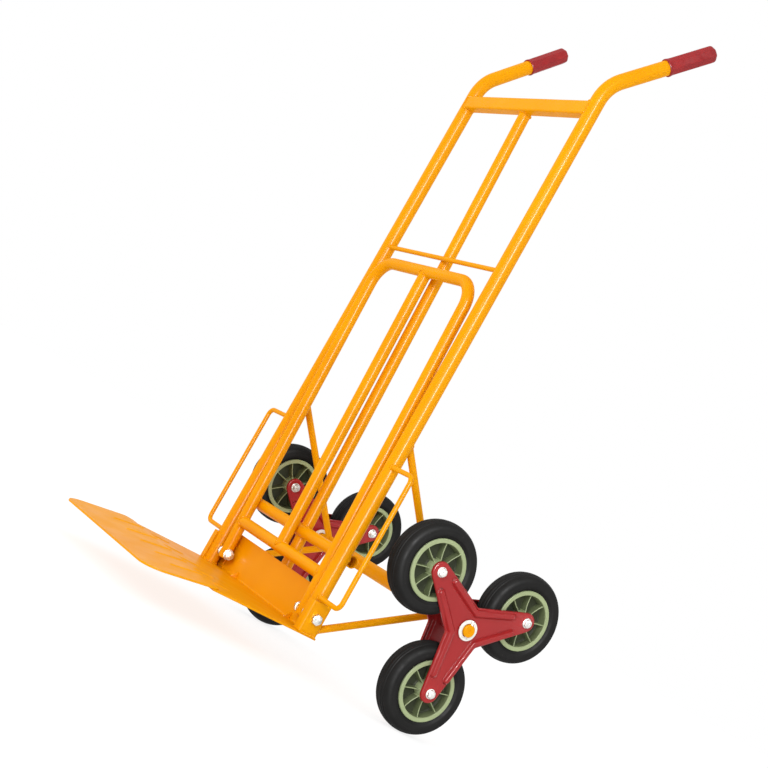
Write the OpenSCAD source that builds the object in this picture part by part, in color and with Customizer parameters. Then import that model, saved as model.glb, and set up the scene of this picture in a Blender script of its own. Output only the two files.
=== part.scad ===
// Stair-climbing hand truck: two bent rails, a folding inner frame, a toe plate and
// two three-wheel stars. Millimetres, +Z up along the rails, +Y to the wheels.

/* [Stars and wheels] */
// Outer radius of a tyre
wheel_r = 75; // [60:0.5:100]
// Width of a tyre
tyre_w = 42; // [30:1:60]
// Outer radius of the plastic rim
rim_r = 50.6; // [40:0.1:60]
// Distance from the axle to each wheel's bolt
star_r = 113.3; // [100:0.1:140]
// Turn of both stars from one arm straight down
star_turn = -1.5; // [-60:0.5:60]
// Half the distance between the two wheel planes
star_x = 256.4; // [240:0.1:280]
// Axle diameter
axle_d = 20; // [16:0.5:25]
// Distance of the axle behind the rails
axle_back = 201.3; // [180:0.1:230]

/* [Main frame] */
// Half the distance between the rails
rail_x = 181.8; // [150:0.1:220]
// Rail tube diameter
rail_d = 25.4; // [22:0.1:32]
// Diameter of the centre tube and of the folding frame's tubes
thin_d = 20.4; // [16:0.1:25]
// Tube wall
wall = 1.8; // [1:0.1:3]
// Height above the axle at which the handle's axis leaves the rail
bend_h = 859.5; // [800:0.5:950]
// Length of the handle from that corner to its end
handle_l = 203; // [160:1:260]
// Lean of the handle from the vertical
handle_lean = 41.8; // [30:0.1:60]
// Outward splay of the handle
handle_splay = 9.8; // [0:0.1:15]
// Length of a grip
grip_l = 94; // [80:1:130]

/* [Folding frame] */
// Half the distance between the folding frame's legs
fold_x = 153; // [130:0.5:156]
// Forward lean of the folding frame when it is folded up
fold_lean = 1.7; // [0:0.1:3]
// Length from the pivot to the axis of the top bar
fold_l = 580; // [450:1:650]

/* [Toe plate] */
// Half the width of the toe plate
toe_x = 197.5; // [180:0.5:220]
// Sheet thickness
toe_t = 3; // [2:0.5:5]
// Downward slope of the front blade
blade_slope = 7.5; // [0:0.1:9]
// Length of the flat base in front of the rails
base_l = 178; // [170:1:220]

/* [Hidden] */
$fn = 72;
axle_z = star_r * cos(star_turn) + wheel_r;
back_y = axle_back + star_r * cos(30 + star_turn) + wheel_r;
front_y = -291.9;
ry = -(back_y + front_y) / 2;
ay = ry + axle_back;
foot_z = axle_z - 125;
pivot_y = ry + 4;
pivot_z = axle_z - 98;
cross_y = ry + 22;
cross_z = axle_z + 4;
fold_bar = 62;
valley_r = 38;
plate_in = 25.4;
side_out = 284.8;

// A round bar from p to q
module bar(p, q, d) {
  v = q - p;
  l = norm(v);
  translate(p) rotate([0, acos(v[2] / l), atan2(v[1], v[0])]) cylinder(h = l, d = d);
}

// A cylinder along X from x0 to x1 on the side s
module xcyl(s, x0, x1, y, z, d) {
  translate([s > 0 ? x0 : -x1, y, z]) rotate([0, 90, 0]) cylinder(h = x1 - x0, d = d);
}

// A hexagon prism along X
module xhex(s, x0, x1, y, z, af) {
  translate([s > 0 ? x0 : -x1, y, z]) rotate([0, 90, 0])
    cylinder(h = x1 - x0, d = af / cos(30), $fn = 6);
}

// A tube's cross-section, thinner by a on both faces
module ring(d, a = 0) {
  difference() {
    circle(d = d - 2 * a);
    circle(d = d - 2 * wall + 2 * a);
  }
}

module rail(s) {
  br = 75;
  t = br * tan(handle_lean / 2);
  zs = axle_z + bend_h - t;
  color("orange") {
    difference() {
      translate([s * rail_x, ry, foot_z]) linear_extrude(height = zs - foot_z) ring(rail_d);
      xcyl(s, rail_x - 20, rail_x + 20, pivot_y, pivot_z, 10);
    }
    translate([s * rail_x, ry, 0]) rotate([0, 0, -s * handle_splay]) {
      translate([0, br, zs]) rotate([90, 0, 90]) rotate([0, 0, 179.6 - handle_lean])
        rotate_extrude(angle = handle_lean + 0.8) translate([br, 0]) ring(rail_d, 0.05);
      translate([0, 0, axle_z + bend_h]) rotate([-handle_lean, 0, 0])
        translate([0, 0, t]) linear_extrude(height = handle_l - t) ring(rail_d);
    }
  }
}

module rail_cut(s) {
  translate([s * rail_x, ry, 0]) cylinder(h = 1200, d = rail_d);
}

module top_crossbar() {
  color("orange") difference() {
    translate([-rail_x, ry - 12.5, axle_z + 802]) cube([2 * rail_x, 20, 24]);
    translate([-rail_x - 1, ry - 12.5 + wall, axle_z + 802 + wall])
      cube([2 * rail_x + 2, 20 - 2 * wall, 24 - 2 * wall]);
    rail_cut(1);
    rail_cut(-1);
  }
}

// The centre tube leans back to the toe plate's upright
function centre_y(h) = ry + 2.5 + (802 - h) * 0.033;

module centre_tube() {
  color("orange") difference() {
    bar([0, centre_y(812), axle_z + 812], [0, centre_y(-80), axle_z - 80], thin_d);
    bar([0, centre_y(822), axle_z + 822], [0, centre_y(-90), axle_z - 90], thin_d - 2 * wall);
    translate([-20, ry - 30, axle_z + 802]) cube([40, 60, 40]);
    translate([-20, ry + 10, axle_z - 90]) cube([40, 11.5, 40]);
    xcyl(1, -30, 30, cross_y, cross_z, thin_d);
    xcyl(1, -30, 30, ry - 1.8, axle_z + 515, 8);
  }
}

module tie_rod() {
  color("orange") difference() {
    xcyl(1, -rail_x, rail_x, ry - 1.8, axle_z + 515, 8);
    rail_cut(1);
    rail_cut(-1);
  }
}

module lower_cross_tube() {
  color("orange") difference() {
    xcyl(1, -rail_x, rail_x, cross_y, cross_z, thin_d);
    xcyl(1, -rail_x - 1, rail_x + 1, cross_y, cross_z, thin_d - 2 * wall);
    rail_cut(1);
    rail_cut(-1);
  }
}

module toe_base() {
  color("orange") {
    translate([-toe_x, ry - base_l, foot_z - toe_t]) cube([2 * toe_x, base_l + 21.5, toe_t]);
    translate([-toe_x + 31.1, ry + 18.5, foot_z]) cube([2 * toe_x - 62.2, toe_t, 67]);
    for (s = [-1, 1])
      translate([s * 105 - 1.5, ry + 18.5, foot_z]) rotate([90, 0, 90])
        linear_extrude(height = 3) polygon([[0, 0], [-12, 0], [0, 12]]);
  }
}

// Outline of the blade, x across and v forward from its rear edge
module blade_outline(l) {
  r = 34;
  q = 14;
  difference() {
    translate([-toe_x, -l]) square([2 * toe_x, l]);
    for (s = [-1, 1]) {
      translate([s * (toe_x - r), r - l]) difference() {
        translate([s > 0 ? 0 : -r - 1, -r - 1]) square([r + 1, r + 1]);
        circle(r = r);
      }
      translate([s * (toe_x - q), -q]) difference() {
        translate([s > 0 ? 0 : -q - 1, 0]) square([q + 1, q + 1]);
        circle(r = q);
      }
    }
  }
}

// The blade lies on the base's front edge and slopes down from there
module toe_blade() {
  y0 = ry - 165;
  y1 = ry - base_l;
  y2 = -ry - back_y;
  k = tan(blade_slope);
  color("orange") intersection() {
    translate([0, y0, 0]) linear_extrude(height = 200) blade_outline(y0 - y2);
    union() {
      translate([-toe_x, 0, foot_z]) rotate([90, 0, 90]) linear_extrude(height = 2 * toe_x)
        polygon([[y0, 0], [y1, 0], [y2, k * (y2 - y1)], [y2, k * (y2 - y1) + toe_t], [y1, toe_t], [y0, toe_t]]);
      for (x = [-128, -64, 0, 64, 128]) translate([x, y1 - 3, foot_z + toe_t - 1])
        rotate([90 + blade_slope, 0, 0]) cylinder(h = 84, r = 2.6);
    }
  }
}

module foot_cheek(s) {
  color("orange") difference() {
    translate([s * rail_x, ry, foot_z]) linear_extrude(height = 53) difference() {
      translate([s > 0 ? -15.4 : -15.7, -15.7]) square([31.1, 37.2]);
      translate([s > 0 ? -17 : -12.7, -12.7]) square([29.7, 31.2]);
      translate([s > 0 ? -17 : 0, -17]) square([17, 10]);
    }
    xcyl(s, rail_x + 10, rail_x + 20, pivot_y, pivot_z, 10);
  }
}

module axle_beam() {
  color("orange") difference() {
    xcyl(1, -208, 208, ay, axle_z, rail_d);
    xcyl(1, -209, 209, ay, axle_z, axle_d);
  }
}

module axle() {
  color("orange") difference() {
    xcyl(1, -293, 293, ay, axle_z, axle_d);
    for (s = [-1, 1]) translate([s * 290, ay, axle_z - 20]) cylinder(h = 40, d = 2.6, $fn = 32);
  }
}

module upper_strut(s) {
  color("orange") difference() {
    bar([s * rail_x, ry, axle_z + 213], [s * rail_x, ay, axle_z], 12);
    rail_cut(s);
    xcyl(s, 160, 208, ay, axle_z, rail_d);
  }
}

module lower_strut(s) {
  color("orange") difference() {
    bar([s * 188, ry + 12, axle_z - 118.5], [s * 188, ay, axle_z - 9.3], 12);
    translate([s * 188 - 20, ry - 20, foot_z - 20]) cube([40, 41.5, 80]);
    xcyl(s, 160, 208, ay, axle_z, rail_d);
  }
}

// A bent rod standing out from the rail, for straps and for grasping
module side_loop(s) {
  x = 253.6;
  r = 12;
  z0 = axle_z - 66;
  z1 = axle_z + 162;
  y = ry - 5.4;
  color("orange") difference() {
    union() {
      for (z = [z0, z1]) xcyl(s, rail_x, x - r, y, z, 8);
      translate([s * x, y, z0 + r]) cylinder(h = z1 - z0 - 2 * r, d = 8);
      translate([s * (x - r), y, z1 - r]) rotate([90, 0, 0]) rotate([0, 0, s > 0 ? 0 : 90])
        rotate_extrude(angle = 90) translate([r, 0]) circle(d = 8);
      translate([s * (x - r), y, z0 + r]) rotate([90, 0, 0]) rotate([0, 0, s > 0 ? 270 : 180])
        rotate_extrude(angle = 90) translate([r, 0]) circle(d = 8);
    }
    rail_cut(s);
  }
}

module grip(s) {
  translate([s * rail_x, ry, axle_z + bend_h]) rotate([0, 0, -s * handle_splay])
    rotate([-handle_lean, 0, 0]) translate([0, 0, handle_l - grip_l + 5])
      color("maroon") rotate_extrude() difference() {
        union() {
          square([14.6, grip_l - 8]);
          translate([0, grip_l - 8]) square([6.6, 8]);
          translate([6.6, grip_l - 8]) circle(r = 8);
          square([15.6, 4]);
        }
        translate([-30, -20]) square([30, 200]);
        translate([-1, -1]) square([1 + rail_d / 2, grip_l - 4]);
      }
}

module pivot_bolt(s) {
  color("silver") {
    xhex(s, 197.5, 203.9, pivot_y, pivot_z, 16);
    xcyl(s, 133.5, 197.5, pivot_y, pivot_z, 10);
    xcyl(s, 163.6, 168.9, pivot_y, pivot_z, 18);
    xcyl(s, 140.9, 142.4, pivot_y, pivot_z, 19);
    xhex(s, 134.9, 140.9, pivot_y, pivot_z, 16);
  }
}

module hub_washers(s) {
  color("white") for (x = [[219, 2.8], [286.2, 2.2]]) difference() {
    xcyl(s, x[0], x[0] + x[1], ay, axle_z, 34);
    xcyl(s, x[0] - 1, x[0] + x[1] + 1, ay, axle_z, axle_d);
  }
}

module split_pin(s) {
  color("silver") {
    translate([s * 290, ay, axle_z - 13.4]) cylinder(h = 25, d = 2.6, $fn = 32);
    xcyl(s, 288.7, 291.3, ay, axle_z + 13.6, 5);
  }
}

// Folding frame, drawn folded up in its own leaning plane from the pivot
module fold_place() {
  translate([0, pivot_y, pivot_z]) rotate([fold_lean, 0, 0]) children();
}

module hoop_path(d, drop) {
  r = 43;
  for (s = [-1, 1]) {
    translate([s * fold_x, 0, drop]) cylinder(h = fold_l - r - drop, d = d);
    translate([s * (fold_x - r), 0, fold_l - r]) rotate([90, 0, 0]) rotate([0, 0, s > 0 ? 0 : 90])
      rotate_extrude(angle = 90) translate([r, 0]) circle(d = d);
  }
  translate([-fold_x + r, 0, fold_l]) rotate([0, 90, 0]) cylinder(h = 2 * (fold_x - r), d = d);
}

module fold_hoop() {
  color("orange") fold_place() difference() {
    hoop_path(thin_d, -9);
    hoop_path(thin_d - 2 * wall, 14);
    for (s = [-1, 1]) xcyl(s, fold_x - 15, fold_x + 15, 0, 0, 10.1);
  }
}

module fold_centre_bar() {
  color("orange") fold_place() difference() {
    translate([0, 0, fold_bar]) cylinder(h = fold_l - fold_bar, d = thin_d);
    translate([0, 0, fold_bar - 5]) cylinder(h = fold_l, d = thin_d - 2 * wall);
    xcyl(1, -30, 30, 0, fold_l, thin_d);
    xcyl(1, -30, 30, 0, fold_bar, thin_d);
  }
}

module fold_bottom_bar() {
  color("orange") fold_place() difference() {
    xcyl(1, -fold_x, fold_x, 0, fold_bar, thin_d);
    xcyl(1, -fold_x - 1, fold_x + 1, 0, fold_bar, thin_d - 2 * wall);
    for (s = [-1, 1]) translate([s * fold_x, 0, 0]) cylinder(h = 200, d = thin_d);
  }
}

// Star plate outline with its three arms
module star_outline() {
  vx = valley_r / 2;
  vy = valley_r * sin(60);
  for (k = [0:2]) rotate(120 * k) {
    polygon([[-1, 0], [vx, -vy], [star_r, -16], [star_r, 16], [vx, vy]]);
    translate([star_r, 0]) circle(r = 16);
  }
}

// Places a star's local plane: local x points along the arm that hangs down
module star_place(x) {
  translate([x, ay, axle_z]) rotate([90, 0, 90]) rotate([0, 0, star_turn - 90]) children();
}

// One pressed plate from x0 to x0 + 3, with ribs on its face away from the wheels
module star_plate(x0, out) {
  color("firebrick") difference() {
    star_place(x0) {
      linear_extrude(height = 3) star_outline();
      for (k = [0:2]) rotate([0, 0, 120 * k]) for (t = [-1, 1])
        translate([34, t * 18.5, out > 0 ? 2.5 : -3.2]) rotate([0, 0, -t * 9])
          translate([0, -2.5, 0]) cube([54, 5, 3.7]);
    }
    star_place(x0 - 5) {
      translate([0, 0, -1]) cylinder(h = 20, d = 30);
      for (k = [0:2]) rotate([0, 0, 120 * k]) translate([star_r, 0, -1]) cylinder(h = 20, d = 8);
    }
  }
}

module star_hub(s) {
  color("firebrick") difference() {
    xcyl(s, 222.3, 286, ay, axle_z, 30);
    xcyl(s, 222, 287, ay, axle_z, axle_d + 0.1);
  }
}

function arm_y(k) = ay + star_r * sin(star_turn + 120 * k);
function arm_z(k) = axle_z - star_r * cos(star_turn + 120 * k);

module star_bolts(s) {
  color("silver") for (k = [0:2]) {
    xhex(s, side_out, side_out + 5.3, arm_y(k), arm_z(k), 13.4);
    xcyl(s, 218.6, side_out, arm_y(k), arm_z(k), 8);
  }
}

module star_nuts(s) {
  color("silver") for (k = [0:2]) difference() {
    union() {
      xhex(s, 221.1, 227, arm_y(k), arm_z(k), 13.4);
      xcyl(s, 227, 228, arm_y(k), arm_z(k), 17);
    }
    xcyl(s, 220, 229, arm_y(k), arm_z(k), 8);
  }
}

// A wheel's parts are drawn about +Z at the origin, then placed on arm k
module wheel_place(s, k) {
  translate([s * star_x, arm_y(k), arm_z(k)]) rotate([0, s * 90, 0]) children();
}

module tyre(s, k) {
  color([0.1, 0.1, 0.1]) wheel_place(s, k) rotate_extrude() difference() {
    intersection() {
      translate([wheel_r - 25, 0]) circle(r = 25);
      translate([rim_r, -tyre_w / 2]) square([40, tyre_w]);
    }
    for (y = [-9, -4.5, 4.5, 9]) translate([wheel_r - 25, y]) translate([sqrt(625 - y * y), 0]) circle(r = 0.7, $fn = 24);
  }
}

module rim(s, k) {
  color([0.66, 0.71, 0.51]) wheel_place(s, k) difference() {
    union() {
      rotate_extrude() {
        translate([rim_r - 6.5, -19.5]) square([6.5, 39]);
        translate([10, -1.6]) square([36, 3.2]);
        square_hub();
      }
      for (a = [0:7]) rotate([0, 0, 45 * a + 12]) translate([12, -1.2, -15.5])
        cube([rim_r - 12 - 4, 2.4, 31]);
    }
    translate([0, 0, -40]) cylinder(h = 80, d = 12);
  }
}

module square_hub() {
  translate([6, -23]) square([7.5, 46]);
}

module bush(s, k) {
  color("silver") wheel_place(s, k) difference() {
    translate([0, 0, -25]) cylinder(h = 50, d = 12);
    translate([0, 0, -26]) cylinder(h = 52, d = 8.1);
  }
}

rail(1);  // right_rail
rail(-1);  // left_rail
top_crossbar();
centre_tube();
tie_rod();
lower_cross_tube();
toe_base();
toe_blade();
foot_cheek(1);  // right_foot_cheek
foot_cheek(-1);  // left_foot_cheek
axle_beam();
axle();
upper_strut(1);  // right_upper_strut
upper_strut(-1);  // left_upper_strut
lower_strut(1);  // right_lower_strut
lower_strut(-1);  // left_lower_strut
side_loop(1);  // right_side_loop
side_loop(-1);  // left_side_loop
grip(1);  // right_grip
grip(-1);  // left_grip
pivot_bolt(1);  // right_pivot_bolt
pivot_bolt(-1);  // left_pivot_bolt
hub_washers(1);  // right_hub_washers
hub_washers(-1);  // left_hub_washers
split_pin(1);  // right_split_pin
split_pin(-1);  // left_split_pin
fold_hoop();
fold_centre_bar();
fold_bottom_bar();
star_plate(star_x + plate_in, 1);  // right_star_outer_plate
star_plate(star_x - plate_in - 3, -1);  // right_star_inner_plate
star_hub(1);  // right_star_hub
star_bolts(1);  // right_star_bolts
star_nuts(1);  // right_star_nuts
star_plate(-star_x - plate_in - 3, -1);  // left_star_outer_plate
star_plate(-star_x + plate_in, 1);  // left_star_inner_plate
star_hub(-1);  // left_star_hub
star_bolts(-1);  // left_star_bolts
star_nuts(-1);  // left_star_nuts
tyre(1, 0);  // right_bottom_tyre
rim(1, 0);  // right_bottom_rim
bush(1, 0);  // right_bottom_bush
tyre(1, 1);  // right_rear_tyre
rim(1, 1);  // right_rear_rim
bush(1, 1);  // right_rear_bush
tyre(1, 2);  // right_front_tyre
rim(1, 2);  // right_front_rim
bush(1, 2);  // right_front_bush
tyre(-1, 0);  // left_bottom_tyre
rim(-1, 0);  // left_bottom_rim
bush(-1, 0);  // left_bottom_bush
tyre(-1, 1);  // left_rear_tyre
rim(-1, 1);  // left_rear_rim
bush(-1, 1);  // left_rear_bush
tyre(-1, 2);  // left_front_tyre
rim(-1, 2);  // left_front_rim
bush(-1, 2);  // left_front_bush
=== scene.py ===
"""Looks of a stair-climbing hand truck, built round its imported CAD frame.

Metres, +Z up along the rails.
"""
import math

import bmesh
import bpy
from mathutils import Matrix, Vector


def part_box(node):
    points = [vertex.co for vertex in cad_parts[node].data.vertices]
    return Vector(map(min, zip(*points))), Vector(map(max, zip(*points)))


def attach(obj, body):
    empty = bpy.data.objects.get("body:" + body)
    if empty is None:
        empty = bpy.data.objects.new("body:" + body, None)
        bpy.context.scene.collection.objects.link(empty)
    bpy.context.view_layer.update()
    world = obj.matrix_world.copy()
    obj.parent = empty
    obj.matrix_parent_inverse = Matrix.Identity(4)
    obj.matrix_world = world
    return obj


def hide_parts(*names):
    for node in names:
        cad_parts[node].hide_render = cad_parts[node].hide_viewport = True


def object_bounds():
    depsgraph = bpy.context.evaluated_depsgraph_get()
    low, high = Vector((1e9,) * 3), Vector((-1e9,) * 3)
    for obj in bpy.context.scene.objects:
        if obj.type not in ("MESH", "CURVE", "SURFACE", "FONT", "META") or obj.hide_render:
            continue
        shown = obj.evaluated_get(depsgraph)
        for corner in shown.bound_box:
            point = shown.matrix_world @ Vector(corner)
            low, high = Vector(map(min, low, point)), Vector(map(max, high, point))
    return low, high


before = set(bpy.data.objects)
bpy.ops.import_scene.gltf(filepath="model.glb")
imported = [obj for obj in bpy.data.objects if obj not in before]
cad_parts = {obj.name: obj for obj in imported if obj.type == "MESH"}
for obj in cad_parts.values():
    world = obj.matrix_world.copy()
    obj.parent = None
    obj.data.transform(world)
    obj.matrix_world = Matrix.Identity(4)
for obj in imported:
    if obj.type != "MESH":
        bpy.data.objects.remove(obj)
cad_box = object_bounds()

X, Y, Z = Vector((1, 0, 0)), Vector((0, 1, 0)), Vector((0, 0, 1))
SIDES = {"right": 1, "left": -1}
ARMS = ("bottom", "rear", "front")
ROUND = 48  # points round a tube


# Places and sizes read from the frame

def low(node):
    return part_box(node)[0]


def high(node):
    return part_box(node)[1]


def mid(node):
    return (low(node) + high(node)) / 2


TUBE_R = (high("axle_beam").z - low("axle_beam").z) / 2
ROD_R = (high("tie_rod").z - low("tie_rod").z) / 2
STRUT_R = 0.006
UPPER_STRUT_RISE = 0.213  # from the axle up to where the strut meets the rail
LOWER_STRUT_X = 0.188
LOWER_STRUT_DROP = 0.0093  # below the axle, where the strut meets the beam
THIN_R = (high("lower_cross_tube").z - low("lower_cross_tube").z) / 2
WALL = 0.0018
RAIL_X = low("right_rail").x + TUBE_R
RAIL_Y = low("right_rail").y + TUBE_R
FOOT_Z = low("right_rail").z
AXLE = Vector((0, mid("axle").y, mid("axle").z))
AXLE_R = 0.01
STAR_X = mid("right_bottom_tyre").x
HUB_WASHERS = ((0.219, 0.0028), (0.2862, 0.0022))  # inner face and thickness
SPLIT_PIN_X = 0.29
WHEEL_R = (high("right_bottom_tyre").z - low("right_bottom_tyre").z) / 2
TYRE_W = high("right_bottom_tyre").x - low("right_bottom_tyre").x
RIM_R = (high("right_bottom_rim").z - low("right_bottom_rim").z) / 2
RIM_W = 0.039

# The rails' bent handles
HANDLE_LEAN = math.radians(41.8)
HANDLE_SPLAY = math.radians(9.8)
HANDLE_L = 0.203
BEND_R = 0.075
GRIP_L = 0.094
CORNER_Z = (high("right_grip").z - (HANDLE_L - 0.003) * math.cos(HANDLE_LEAN)
            - 0.0066 * math.sin(HANDLE_LEAN) - 0.008)

# The folding frame
FOLD_LEAN = math.radians(1.7)
FOLD_BEND = 0.043
FOLD_X = high("fold_hoop").x - THIN_R
PIVOT = Vector((0, mid("right_pivot_bolt").y, mid("right_pivot_bolt").z))
FOLD_L = 0.580
FOLD_BAR = 0.062  # the bottom bar's distance from the pivot
PIVOT_R = 0.005
PIVOT_ACROSS = 0.016  # hexagons of its head and nut
PIVOT_NUT_X = 0.1409  # inner face of the folding frame's leg
PIVOT_SPACER_X = 0.1636

# The toe plate
TOE_X = high("toe_base").x
TOE_T = 0.003
BLADE_REAR = high("toe_blade").y
BLADE_FRONT = low("toe_blade").y
BLADE_SLOPE = math.tan(math.radians(7.5))
BASE_FRONT = low("toe_base").y
RIB_X = (-0.128, -0.064, 0.0, 0.064, 0.128)
BASE_RIB = (BASE_FRONT + 0.02, BASE_FRONT + 0.062)  # where a rib starts and ends
BLADE_RIB = (BASE_FRONT - 0.045, BLADE_REAR - 0.006)
GUSSET_X = 0.105


# Mesh building

class Shape:
    """Points and faces of a piece while it is put together."""

    def __init__(self):
        self.points = []
        self.faces = []

    def loft(self, rings, along=False, caps=True):
        """Joins closed rings of equally many points into a skin."""
        start = len(self.points)
        count = len(rings[0])
        for ring in rings:
            self.points.extend(ring)
        last = len(rings) if along else len(rings) - 1
        for i in range(last):
            a = start + i * count
            b = start + (i + 1) % len(rings) * count
            for j in range(count):
                k = (j + 1) % count
                self.faces.append((a + j, a + k, b + k, b + j))
        if caps and not along:
            end = start + (len(rings) - 1) * count
            self.faces.append(tuple(reversed(range(start, start + count))))
            self.faces.append(tuple(range(end, end + count)))
        return self

    def piece(self, name, body, slot, material, *nodes, angle=40):
        """Makes the Blender object, riding on a body and standing for its CAD nodes."""
        mesh = bpy.data.meshes.new(name)
        mesh.from_pydata([tuple(p) for p in self.points], [], self.faces)
        mesh.polygons.foreach_set("use_smooth", [True] * len(mesh.polygons))
        obj = bpy.data.objects.new(name, mesh)
        bpy.context.scene.collection.objects.link(obj)
        outward(mesh)
        mesh.set_sharp_from_angle(angle=math.radians(angle))
        mesh.materials.append(material)
        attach(obj, body)
        if nodes:
            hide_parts(*nodes)
        return obj


def outward(mesh):
    """Turns every face of the mesh to look outward."""
    bm = bmesh.new()
    bm.from_mesh(mesh)
    bmesh.ops.recalc_face_normals(bm, faces=bm.faces)
    bm.to_mesh(mesh)
    bm.free()


def circle(centre, u, v, r, count=ROUND):
    return [centre + (u * math.cos(a) + v * math.sin(a)) * r
            for a in (2 * math.pi * i / count for i in range(count))]


def rounded(corners, r, steps=14):
    """A path through the corners with each inner one bent to a radius."""
    path = [corners[0]]
    for a, b, c in zip(corners, corners[1:], corners[2:]):
        p, q = (a - b).normalized(), (c - b).normalized()
        half = p.angle(q) / 2
        centre = b + (p + q).normalized() * (r / math.sin(half))
        start, end = b + p * (r / math.tan(half)), b + q * (r / math.tan(half))
        e, f = start - centre, end - centre
        sweep = e.angle(f)
        for i in range(steps + 1):
            t = i / steps * sweep
            path.append(centre + (e * math.sin(sweep - t) + f * math.sin(t)) / math.sin(sweep))
    path.append(corners[-1])
    return path


def stations(path):
    """Each point of a path with its direction and two axes across it that don't twist."""
    found = []
    side = None
    for i, p in enumerate(path):
        ahead = path[min(i + 1, len(path) - 1)] - p
        behind = p - path[max(i - 1, 0)]
        t = (ahead.normalized() + behind.normalized()).normalized()
        if side is None:
            side = t.orthogonal().normalized()
        side = (side - t * side.dot(t)).normalized()
        found.append((p, t, side, t.cross(side)))
    return found


def tube(shape, path, r, wall=0.0, chamfer=0.0006, depth=0.03):
    """A bar along a path, or with a wall a tube that is open at both ends."""
    at = stations(path)
    p, t, u, v = at[0]
    q, s, e, f = at[-1]
    rings = []
    if wall:
        rings += [circle(p + t * depth, u, v, r - wall), circle(p + t * chamfer, u, v, r - wall),
                  circle(p, u, v, r - wall + chamfer)]
    rings += [circle(p, u, v, r - chamfer), circle(p + t * chamfer, u, v, r)]
    rings += [circle(m, a, b, r) for m, _, a, b in at[1:-1]]
    rings += [circle(q - s * chamfer, e, f, r), circle(q, e, f, r - chamfer)]
    if wall:
        rings += [circle(q, e, f, r - wall + chamfer), circle(q - s * chamfer, e, f, r - wall),
                  circle(q - s * depth, e, f, r - wall)]
    return shape.loft(rings)


def lathe(centre, axis, profile, count=96):
    """Rings turned about the axis from (distance along it, radius) pairs."""
    u = axis.orthogonal().normalized()
    v = axis.cross(u)
    return [circle(centre + axis * s, u, v, r, count) for s, r in profile]


def washer(shape, centre, axis, length, outer, inner, edge=0.0005, count=64):
    """A ring with rounded outer edges and a bore."""
    profile = [(0, inner), (0, outer - edge), (edge * 0.3, outer - edge * 0.3), (edge, outer),
               (length - edge, outer), (length - edge * 0.3, outer - edge * 0.3),
               (length, outer - edge), (length, inner)]
    return shape.loft(lathe(centre, axis, profile, count), along=True)


def hexagon(across):
    """Radius of a hexagon with that width across its flats, by angle."""
    return lambda a: across / 2 / math.cos((a % (math.pi / 3)) - math.pi / 6)


def hex_head(shape, centre, axis, height, across, base=0.0004):
    """A bolt head or nut with its corners turned off at the top."""
    form = hexagon(1.0)
    count = 72
    u = axis.orthogonal().normalized()
    v = axis.cross(u)
    rings = []
    for s, share, blend in ((0, 0.97, 1), (base, 1, 1), (height * 0.72, 1, 1),
                            (height * 0.86, 0.985, 0.62), (height * 0.95, 0.955, 0.25),
                            (height, 0.91, 0)):
        ring = []
        for i in range(count):
            a = 2 * math.pi * i / count
            r = across * share * (form(a) * blend + 0.5 * (1 - blend))
            ring.append(centre + axis * s + (u * math.cos(a) + v * math.sin(a)) * r)
        rings.append(ring)
    return shape.loft(rings)


def thread_end(shape, centre, axis, length, r, pitch=0.00125):
    """The ridged end of a bolt, with a chamfered tip."""
    profile = [(0, r)]
    turns = max(1, int((length - 0.001) / pitch))
    for i in range(turns):
        profile += [(i * pitch + pitch * 0.25, r), (i * pitch + pitch * 0.6, r * 0.88),
                    (i * pitch + pitch * 0.9, r)]
    profile += [(length - 0.0008, r), (length, r * 0.8)]
    return shape.loft(lathe(centre, axis, profile, 32))


# Welds: a bead follows the line where one tube's outline meets another surface

def on_cylinder(p, d, q, b, r):
    """Where the line from p along d first meets the cylinder of radius r about q along b."""
    o = p - q
    o = o - b * o.dot(b)
    a = d - b * d.dot(b)
    m, n = o.dot(a), o.dot(o) - r * r
    return p + d * ((-m - math.sqrt(max(m * m - a.dot(a) * n, 0.0))) / a.dot(a))


def on_plane(p, d, q, n):
    return p + d * ((q - p).dot(n) / d.dot(n))


def bead(shape, path, r=0.0019, ripple=0.0024):
    """A closed weld bead with overlapping scales."""
    length = sum((path[(i + 1) % len(path)] - p).length for i, p in enumerate(path))
    scales = max(6, round(length / ripple))
    count = scales * 5
    points = resample(path, count)
    rings = []
    for i, p in enumerate(points):
        t = (points[(i + 1) % count] - points[i - 1]).normalized()
        u = t.orthogonal().normalized() if i == 0 else (u - t * u.dot(t)).normalized()
        phase = i / 5 % 1.0
        wave = r * (0.78 + 0.3 * math.sin(math.pi * phase) + 0.05 * math.sin(i * 1.7))
        rings.append(circle(p, u, t.cross(u), wave, 10))
    return shape.loft(rings, along=True)


def resample(path, count):
    """Evenly spaced points round a closed path."""
    closed = list(path) + [path[0]]
    steps = [(b - a).length for a, b in zip(closed, closed[1:])]
    total = sum(steps)
    points, i, walked = [], 0, 0.0
    for k in range(count):
        at = total * k / count
        while walked + steps[i] < at:
            walked += steps[i]
            i += 1
        share = (at - walked) / steps[i] if steps[i] else 0.0
        points.append(closed[i].lerp(closed[i + 1], share))
    return points


def weld_round(shape, centre, axis, r, reach, size=0.0019):
    """The bead where a round bar of radius r, running along axis, ends on another surface."""
    u = axis.orthogonal().normalized()
    v = axis.cross(u)
    return bead(shape, [reach(p) for p in circle(centre, u, v, r, 48)], size)


# Materials

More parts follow.
